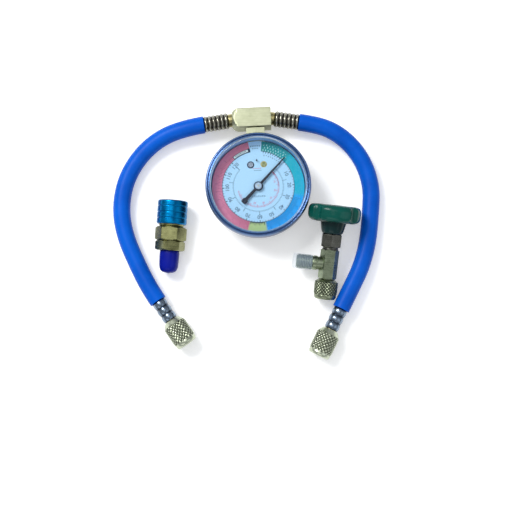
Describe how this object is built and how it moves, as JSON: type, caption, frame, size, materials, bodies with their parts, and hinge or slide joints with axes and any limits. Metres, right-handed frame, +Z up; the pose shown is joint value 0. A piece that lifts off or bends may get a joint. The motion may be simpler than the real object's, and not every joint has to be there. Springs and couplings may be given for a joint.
{
  "type": "refrigerant charging hose with gauge",
  "caption": "Compound pressure gauge on a brass tee with two blue charging hoses ending in knurled flare nuts, with a loose can tap valve and a blue quick coupler.",
  "frame": {"origin": "middle of the gauge's back, on the surface that the set lies on", "axes": "+Z up out of the dial, +Y from the gauge towards its tee, +X to the right in the picture"},
  "size_m": [0.2061, 0.1936, 0.0424],
  "materials": {
    "chrome_bezel": "polished",
    "case_steel": "satin",
    "lens_clear": "polished",
    "black_rubber": "matte",
    "dial_print": "satin",
    "pointer_black": "satin",
    "steel": "satin",
    "brass": "machined",
    "brass_pale": "machined",
    "bronze_strip": "satin",
    "blue_rubber": "satin",
    "ferrule_metal": "satin",
    "end_ferrule_metal": "polished",
    "green_plastic": "gloss",
    "packing_metal": "satin",
    "tap_brass": "satin",
    "clear_cap": "gloss",
    "blue_anodised": "satin",
    "blue_plastic": "gloss"
  },
  "bodies": {
    "gauge": {"gauge_case": "case_steel", "bezel_ring": "chrome_bezel", "lens_gasket": "black_rubber", "lens": "lens_clear", "gauge_socket": "brass", "bourdon_tube": "bronze_strip", "movement_base_plate": "brass", "movement_top_plate": "brass", "movement_pillars": "brass", "movement_screws": "steel", "hairspring": "bronze_strip", "dial_plate": "dial_print", "dial_screws": "steel", "stop_pin": "steel", "tee_block": "brass_pale", "tee_ferrule_left": "ferrule_metal", "tee_ferrule_right": "ferrule_metal", "hose_left": "blue_rubber", "end_ferrule_left": "end_ferrule_metal", "hose_stem_left": "brass", "nut_gasket_left": "black_rubber", "core_pin_left": "brass", "hose_right": "blue_rubber", "end_ferrule_right": "end_ferrule_metal", "hose_stem_right": "brass", "nut_gasket_right": "black_rubber", "core_pin_right": "brass"},
    "tube_end": {"tube_tip": "brass", "tube_link": "steel", "link_pins": "steel"},
    "sector": {"sector_gear": "brass", "sector_arbor": "steel"},
    "pointer_set": {"pinion_arbor": "brass", "pointer": "pointer_black", "pointer_hub": "steel"},
    "nut_left": {"hose_nut_left": "brass"},
    "nut_right": {"hose_nut_right": "brass"},
    "tap": {"tap_body": "tap_brass", "tap_bonnet": "packing_metal", "tap_nut_ring": "steel", "tap_gasket": "black_rubber", "tap_core_pin": "brass", "tap_port_core": "brass"},
    "tap_valve_head": {"tap_needle": "steel"},
    "tap_handwheel": {"tap_spindle": "steel", "tap_knob": "green_plastic", "tap_knob_screw": "steel", "tap_oring": "black_rubber"},
    "tap_swivel_nut": {"tap_nut": "brass"},
    "tap_cap": {"tap_port_cap": "clear_cap"},
    "coupler": {"coupler_body": "brass", "coupler_balls": "steel", "coupler_sleeve_spring": "steel", "coupler_retaining_ring": "steel", "coupler_oring": "black_rubber", "coupler_plunger_spring": "steel", "coupler_adapter": "brass"},
    "coupler_collar": {"coupler_sleeve": "blue_anodised"},
    "coupler_pin": {"coupler_plunger": "brass"},
    "coupler_cap": {"coupler_port_cap": "blue_plastic"}
  },
  "joints": [
    {"name": "sector_turn", "type": "hinge", "parent": "gauge", "child": "sector", "pos_m": [0.00071, -0.01348, 0.0158], "axis": [0, 0, 1], "range_deg": [-4.88, 37.5]},
    {"name": "pointer_turn", "type": "hinge", "parent": "gauge", "child": "pointer_set", "pos_m": [0, 0, 0.0206], "axis": [0, 0, -1], "range_deg": [-39, 300], "deforming": ["hairspring"]},
    {"name": "tube_end_travel", "type": "slide", "parent": "gauge", "child": "tube_end", "axis": [0.9986, 0.0523, 0], "range_m": [-0.00043, 0.00327], "deforming": ["bourdon_tube"]},
    {"name": "nut_left_spin", "type": "hinge", "parent": "gauge", "child": "nut_left", "pos_m": [-0.05924, -0.11071, 0.00895], "axis": [0.5736, -0.8192, 0], "continuous": true},
    {"name": "nut_right_spin", "type": "hinge", "parent": "gauge", "child": "nut_right", "pos_m": [0.04966, -0.11865, 0.00895], "axis": [-0.4462, -0.8949, 0], "continuous": true},
    {"name": "tap_lift", "type": "slide", "parent": "gauge", "child": "tap", "axis": [0, 0, 1], "range_m": [0, 0.08]},
    {"name": "tap_valve_travel", "type": "slide", "parent": "tap", "child": "tap_valve_head", "axis": [0.1095, 0.9766, 0.1852], "range_m": [0, 0.003]},
    {"name": "tap_handwheel_turn", "type": "hinge", "parent": "tap_valve_head", "child": "tap_handwheel", "pos_m": [0.05697, -0.026, 0.01931], "axis": [0.1095, 0.9766, 0.1852], "range_deg": [0, 1080]},
    {"name": "tap_nut_spin", "type": "hinge", "parent": "tap", "child": "tap_swivel_nut", "pos_m": [0.05117, -0.07776, 0.0095], "axis": [0.1095, 0.9766, 0.1852], "continuous": true},
    {"name": "tap_cap_pull", "type": "slide", "parent": "tap", "child": "tap_cap", "axis": [-0.9938, 0.1115, 0], "range_m": [0, 0.02]},
    {"name": "coupler_lift", "type": "slide", "parent": "gauge", "child": "coupler", "axis": [0, 0, 1], "range_m": [0, 0.08]},
    {"name": "coupler_sleeve_slide", "type": "slide", "parent": "coupler", "child": "coupler_collar", "axis": [-0.0661, -0.9949, -0.0767], "range_m": [0, 0.0019], "stiffness_N_per_m": 2500, "springref_m": -0.002, "deforming": ["coupler_sleeve_spring"]},
    {"name": "coupler_plunger_slide", "type": "slide", "parent": "coupler", "child": "coupler_pin", "axis": [-0.0661, -0.9949, -0.0767], "range_m": [0, 0.003], "stiffness_N_per_m": 1200, "springref_m": -0.002, "deforming": ["coupler_plunger_spring"]},
    {"name": "coupler_cap_pull", "type": "slide", "parent": "coupler", "child": "coupler_cap", "axis": [-0.0661, -0.9949, -0.0767], "range_m": [0, 0.0116]}
  ],
  "couplings": [
    {"joint": "pointer_turn", "follows": "sector_turn", "ratio": 8},
    {"joint": "tube_end_travel", "follows": "sector_turn", "m_per_rad": 0.004988},
    {"joint": "tap_valve_travel", "follows": "tap_handwheel_turn", "m_per_rad": 0.00015915}
  ]
}
